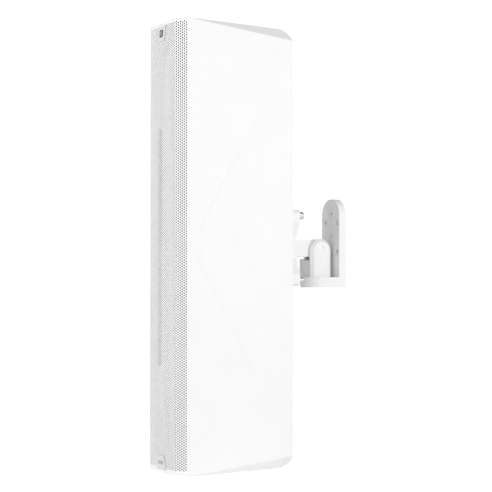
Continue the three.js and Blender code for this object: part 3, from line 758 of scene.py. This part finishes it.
def damping_wadding(material):
    """A soft block of wadding glued to the inside of the cabinet's back."""
    low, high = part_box("damping_pad")
    centre, half = (low + high) / 2, (high - low) / 2
    bm = bmesh.new()
    bmesh.ops.create_cube(bm, size=2)
    bmesh.ops.subdivide_edges(bm, edges=bm.edges, cuts=PAD_CUTS, use_grid_fill=True)
    for v in bm.verts:
        x, y, z = wadding_point(*v.co)
        v.co = centre + Vector((half.x * x, half.y * y, half.z * z))
    mesh = bpy.data.meshes.new("damping_wadding")
    bm.to_mesh(mesh)
    bm.free()
    mesh.materials.append(material)
    mesh.shade_smooth()
    obj = bpy.data.objects.new("damping_wadding", mesh)
    bpy.context.scene.collection.objects.link(obj)
    rounded = obj.modifiers.new("subdivided", "SUBSURF")
    rounded.levels = rounded.render_levels = 1
    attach(obj, "loudspeaker")
    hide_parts("damping_pad")


# ---------------------------------------------------------------- cabinet and badges


def dress_cabinet(m):
    refine("cabinet_shell", m["paint"], 0.9 * MM, 3, 60)
    refine("front_baffle", m["board"], 0.8 * MM)
    for node in ("upper_brace", "lower_brace"):
        refine(node, m["board"], 0.8 * MM)
    perforated_grille(m["grille"])
    wrapped_foam(m["foam"])
    backing_gauze_and_shade(m["gauze_and_shade"])
    damping_wadding(m["wadding"])


RING_PROFILE = [(3.4, -0.9), (5.0, -0.9), (5.0, -0.3), (3.4, -0.3), (3.4, -0.9)]
MARK_Z = -24 * MM
TILE_HALF = (8.5 * MM, 8 * MM)
TILE_DEPTH = (-0.5 * MM, 0.3 * MM)
BAR_PLACES = (-9, 0, 9)
BAR_HALF = 3.6
BAR_DEPTH = (-0.35 * MM, 0.3 * MM)
BAR_HEIGHTS = (19 * MM, 27 * MM)


def dress_badges(m):
    """Plain plates. The marks on them are simple generic shapes."""
    for node in ("top_badge", "bottom_badge"):
        # The white plates and the ring on the mark get the darker badge paint, which is painted shade.
        refine(node, m["badge"], 0.5 * MM, 3, 30)
    (half_w, half_h), (front, back) = TILE_HALF, TILE_DEPTH
    tile = Shape().block((-half_w, front, MARK_Z - half_h), (half_w, back, MARK_Z + half_h))
    tile.on_facet(1).make("top_badge_tile", m["mark"], 0.25 * MM, slot="badge_face")
    ring = Shape().lathe(RING_PROFILE, "Y", (0, 0, MARK_Z), 40)
    ring.on_facet(1).make("top_badge_ring", m["badge"], 0.1 * MM, slot="badge_face")
    bars = Shape()
    for x in BAR_PLACES:
        low = ((x - BAR_HALF) * MM, BAR_DEPTH[0], BAR_HEIGHTS[0])
        high = ((x + BAR_HALF) * MM, BAR_DEPTH[1], BAR_HEIGHTS[1])
        bars.block(low, high)
    bars.on_facet(-1).make("bottom_badge_bars", m["soft_mark"], 0.2 * MM, slot="badge_face")


# ---------------------------------------------------------------- loudspeaker drivers

FRAME_PROFILE = [
    (67, -4), (67, -0.3), (57.4, -0.3), (33, 46), (12, 46), (12, 43.5), (31, 43.5),
    (54.7, 1), (54.7, -4), (67, -4),
]
FRAME_SCREW_PROFILE = [(0, -6.2), (2.0, -6.0), (3.2, -4.9), (3.2, -4), (0, -4)]
CONE_PROFILE = [
    (0, 13.2), (4, 13.5), (8, 14.5), (12, 16.6), (15, 20.0), (15.6, 20.6), (24, 14.6),
    (36, 6.0), (44, 0.6), (44.4, 1.6), (36, 7.4), (17, 22.5), (15, 23.5), (0, 23.5),
]
SURROUND_PROFILE = [
    (43.4, 0.4), (44.5, -1.4), (46.2, -3.0), (48.6, -3.8), (51.0, -3.0), (52.4, -1.6), (53.0, -1.9),
    (54.3, -1.9), (54.3, -1.1), (52.0, -0.9), (50.6, -2.2), (48.6, -3.0), (46.8, -2.2), (45.4, -0.8),
    (44.6, 0.9), (43.4, 0.4),
]
MOTOR_PROFILE = [
    (0, 46.3), (26, 46.3), (26, 48.5), (38, 48.5), (38, 63.5), (30, 63.5), (30, 70), (9, 70),
    (6, 66), (0, 66),
]


WOOFERS = 6
TURN_SIDES = 64
FRAME_SCREWS = 8
SCREW_CIRCLE = 61 * MM
FRAME_FLANGE = 4 * MM


def woofer_frame(centre):
    """The cast basket with a ring of screws in its flange."""
    shape = Shape().lathe(FRAME_PROFILE, "Y", centre, TURN_SIDES)
    for i in range(FRAME_SCREWS):
        turn = Matrix.Rotation(math.tau * i / FRAME_SCREWS, 3, "Y")
        screw = Shape().lathe(FRAME_SCREW_PROFILE, "Y", (0, 0, 0), 16)
        at = turn @ Vector((SCREW_CIRCLE, 0, 0)) + Vector(centre)
        shape.add([Vector(v) + at for v in screw.vertices], screw.faces)
    return shape


def make_woofers(m):
    for number in range(1, WOOFERS + 1):
        low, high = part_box(f"woofer_{number}_basket")
        centre = (0, low.y + FRAME_FLANGE, (low.z + high.z) / 2)
        name = f"woofer_{number}"
        basket = {"slot": "cast_frame", "stands_for": [f"{name}_basket"]}
        woofer_frame(centre).make(f"{name}_frame", m["frame"], 0.5 * MM, **basket)
        cone = Shape().lathe(CONE_PROFILE, "Y", centre, TURN_SIDES)
        cone.make(f"{name}_diaphragm", m["cone"], slot="cone", stands_for=[f"{name}_cone"])
        surround = Shape().lathe(SURROUND_PROFILE, "Y", centre, TURN_SIDES)
        surround.make(f"{name}_surround", m["rubber"], slot="cone")
        motor = Shape().lathe(MOTOR_PROFILE, "Y", centre, TURN_SIDES)
        motor.make(f"{name}_motor", m["magnet"], 0.8 * MM, slot="magnet", stands_for=[f"{name}_magnet"])


DOME_PROFILE = [
    (0, -2.2), (2, -2.1), (4, -1.7), (5.6, -1.0), (6.7, -0.1), (7.1, 0.4), (7.8, -0.2), (8.4, -0.1),
    (8.8, 0.6), (8.8, 1.8), (0, 1.8),
]


MODULES = 4
DOMES = 5
DOME_RISE = 2.2 * MM
MODULE_GAP = 0.3 * MM
FACE_HALF = 10 * MM
CHAMBER_HALF = 14 * MM


def make_tweeters(m):
    for number in range(1, MODULES + 1):
        node = f"tweeter_module_{number}"
        low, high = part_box(node)
        middle = (low.z + high.z) / 2
        pitch = (high.z - low.z + MODULE_GAP) / DOMES
        face = low.y + DOME_RISE
        body = Shape().block((-FACE_HALF, face, low.z), (FACE_HALF, face + 4 * MM, high.z))
        chamber_low = (-CHAMBER_HALF, face + 3 * MM, low.z + 2 * MM)
        body.block(chamber_low, (CHAMBER_HALF, high.y, high.z - 2 * MM))
        body.make(f"tweeter_array_{number}", m["plastic"], 0.7 * MM, slot="black_plastic", stands_for=[node])
        domes = Shape()
        for i in range(DOMES):
            domes.lathe(DOME_PROFILE, "Y", (0, face, middle + (i - DOMES // 2) * pitch), 32)
        domes.make(f"tweeter_domes_{number}", m["rubber"], slot="black_plastic")
    refine("tweeter_bar", m["plastic"], 0.6 * MM)


# ---------------------------------------------------------------- inside


def dress_crossover(m):
    refine("crossover_board", m["circuit"])
    for node in ("crossover_coil_1", "crossover_coil_2"):
        refine(node, m["copper"], 1.5 * MM)
    for node in ("crossover_capacitor_1", "crossover_capacitor_2", "crossover_capacitor_3"):
        refine(node, m["plastic"], 1.0 * MM)
    refine("line_transformer", m["magnet"], 1.2 * MM)


# ---------------------------------------------------------------- rear input panel


PANEL_SCREW_ROWS = 4
PANEL_SCREW_R = 3.4 * MM
SOCKET_CORE = [(0, -21), (5.2, -21), (5.2, -9), (4.4, -8), (0, -8)]
SOCKET_KEY = ((9.6 * MM, -16 * MM, -1.3 * MM), (11.4 * MM, -3 * MM, 1.3 * MM))
SOCKET_KEYS = 4
SOCKET_SCREW_AT = (10.7 * MM, 12.7 * MM)
SOCKET_SCREW_R = 2.0 * MM
TICK = ((-0.5 * MM, -0.1 * MM, 14.5 * MM), (0.5 * MM, 0.25 * MM, 18 * MM))
POINTER = ((-0.6 * MM, -0.4 * MM, 2 * MM), (0.6 * MM, 0.3 * MM, 9.5 * MM))
TAP_STOPS = (-60, -30, 0, 30, 60, 90)
COVERAGE_STOPS = (-30, 30)
TERMINALS = 4
TERMINAL_PITCH = 11 * MM
TERMINAL_RISE = 4.4 * MM
TERMINAL_SCREW_R = 2.6 * MM


def screw_head(shape, x, y, z, radius):
    """A pan head with a dished recess, its axis along +Y, standing on y."""
    r = radius / MM
    dome = [(0, 0.43 * r), (r * 0.2, 0.45 * r), (r * 0.5, 0.62 * r), (r * 0.85, 0.42 * r)]
    profile = [*dome, (r, 0.14 * r), (r, -0.1), (0, -0.1)]
    shape.lathe(profile, "Y", (x, y, z), 24)


def dress_plate(m):
    """The panel's plate and the screws along both its edges."""
    refine("input_panel", m["panel"], 0.5 * MM)
    low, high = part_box("input_panel")
    rise = (high.z - low.z - 12 * MM) / (PANEL_SCREW_ROWS - 1)
    screws = Shape()
    for x in (low.x + 5 * MM, high.x - 5 * MM):
        for i in range(PANEL_SCREW_ROWS):
            screw_head(screws, x, high.y, low.z + 6 * MM + i * rise, PANEL_SCREW_R)
    screws.make("panel_screws", m["steel"], slot="steel")


def dress_socket(m, number):
    """A speaker socket's core, the keys round it, and its two screws."""
    node = f"speaker_socket_{number}"
    refine(node, m["plastic"], 0.5 * MM)
    low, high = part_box(node)
    centre = ((low.x + high.x) / 2, high.y, (low.z + high.z) / 2)
    core = Shape().lathe(SOCKET_CORE, "Y", centre, 32)
    for i in range(SOCKET_KEYS):
        spin = Matrix.Rotation(i * math.tau / SOCKET_KEYS, 3, "Y")
        key = Shape().block(*SOCKET_KEY)
        core.add([spin @ Vector(v) + Vector(centre) for v in key.vertices], key.faces)
    core.make(f"socket_core_{number}", m["plastic"], 0.3 * MM, slot="black_plastic")
    bolts = Shape()
    for across, up in ((-1, 1), (1, -1)):
        x = centre[0] + across * SOCKET_SCREW_AT[0]
        screw_head(bolts, x, high.y, centre[2] + up * SOCKET_SCREW_AT[1], SOCKET_SCREW_R)
    bolts.make(f"socket_screws_{number}", m["steel"], slot="steel")


def dress_knob(m, node, body, pointer, stops):
    """A knob's printed pointer, and the printed marks on the panel at its stops."""
    refine(node, m["plastic"], 0.6 * MM)
    low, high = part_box(node)
    top = Vector(((low.x + high.x) / 2, high.y, (low.z + high.z) / 2))
    line = Shape().block(*(top + Vector(corner) for corner in POINTER))
    line.make(pointer, m["print"], 0.15 * MM, body=body, slot="black_plastic")
    foot = Vector((top.x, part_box("input_panel")[1].y, top.z))
    marks = Shape()
    for stop in stops:
        turn = Matrix.Rotation(math.radians(stop), 3, "Y")
        tick = Shape().block(*TICK)
        marks.add([turn @ Vector(v) + foot for v in tick.vertices], tick.faces)
    marks.make(f"{pointer}_marks", m["print"], slot="panel_black")


def dress_terminals(m):
    refine("terminal_block", m["plastic"], 0.6 * MM)
    low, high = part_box("terminal_block")
    middle = (low.x + high.x) / 2
    clamps = Shape()
    for i in range(TERMINALS):
        x = middle + (i - (TERMINALS - 1) / 2) * TERMINAL_PITCH
        screw_head(clamps, x, high.y - 0.6 * MM, (low.z + high.z) / 2 + TERMINAL_RISE, TERMINAL_SCREW_R)
    clamps.make("terminal_screws", m["brass"], slot="copper")


def dress_panel(m):
    dress_plate(m)
    for number in (1, 2):
        dress_socket(m, number)
    dress_knob(m, "tap_selector_knob", "tap_selector", "tap_pointer", TAP_STOPS)
    dress_knob(m, "coverage_knob", "coverage_selector", "coverage_pointer", COVERAGE_STOPS)
    dress_terminals(m)
    refine("voicing_slider", m["plastic"], 0.4 * MM)


# ---------------------------------------------------------------- bracket


def dress_bracket(m):
    refine("wall_bracket", m["casting"], 1.8 * MM, 4, 55)
    refine("tilt_yoke", m["casting"], 0.9 * MM, 3, 35)
    refine("speaker_bracket", m["casting"], 0.9 * MM, 3, 50)
    for i in range(1, 5):
        refine(f"bracket_bolt_{i}", m["steel"], 0.4 * MM, 2, 35)
    for node in ("tilt_pin", "tilt_lock_nut", "pan_bolt", "pan_washer"):
        refine(node, m["steel"], 0.5 * MM, 2, 35)
    for node in ("tilt_washer_left", "tilt_washer_right"):
        refine(node, m["fibre"], 0.2 * MM)


# ---------------------------------------------------------------- the scene

make_camera()
make_stage()
materials = make_materials()
dress_cabinet(materials)
dress_badges(materials)
make_woofers(materials)
make_tweeters(materials)
dress_crossover(materials)
dress_panel(materials)
dress_bracket(materials)
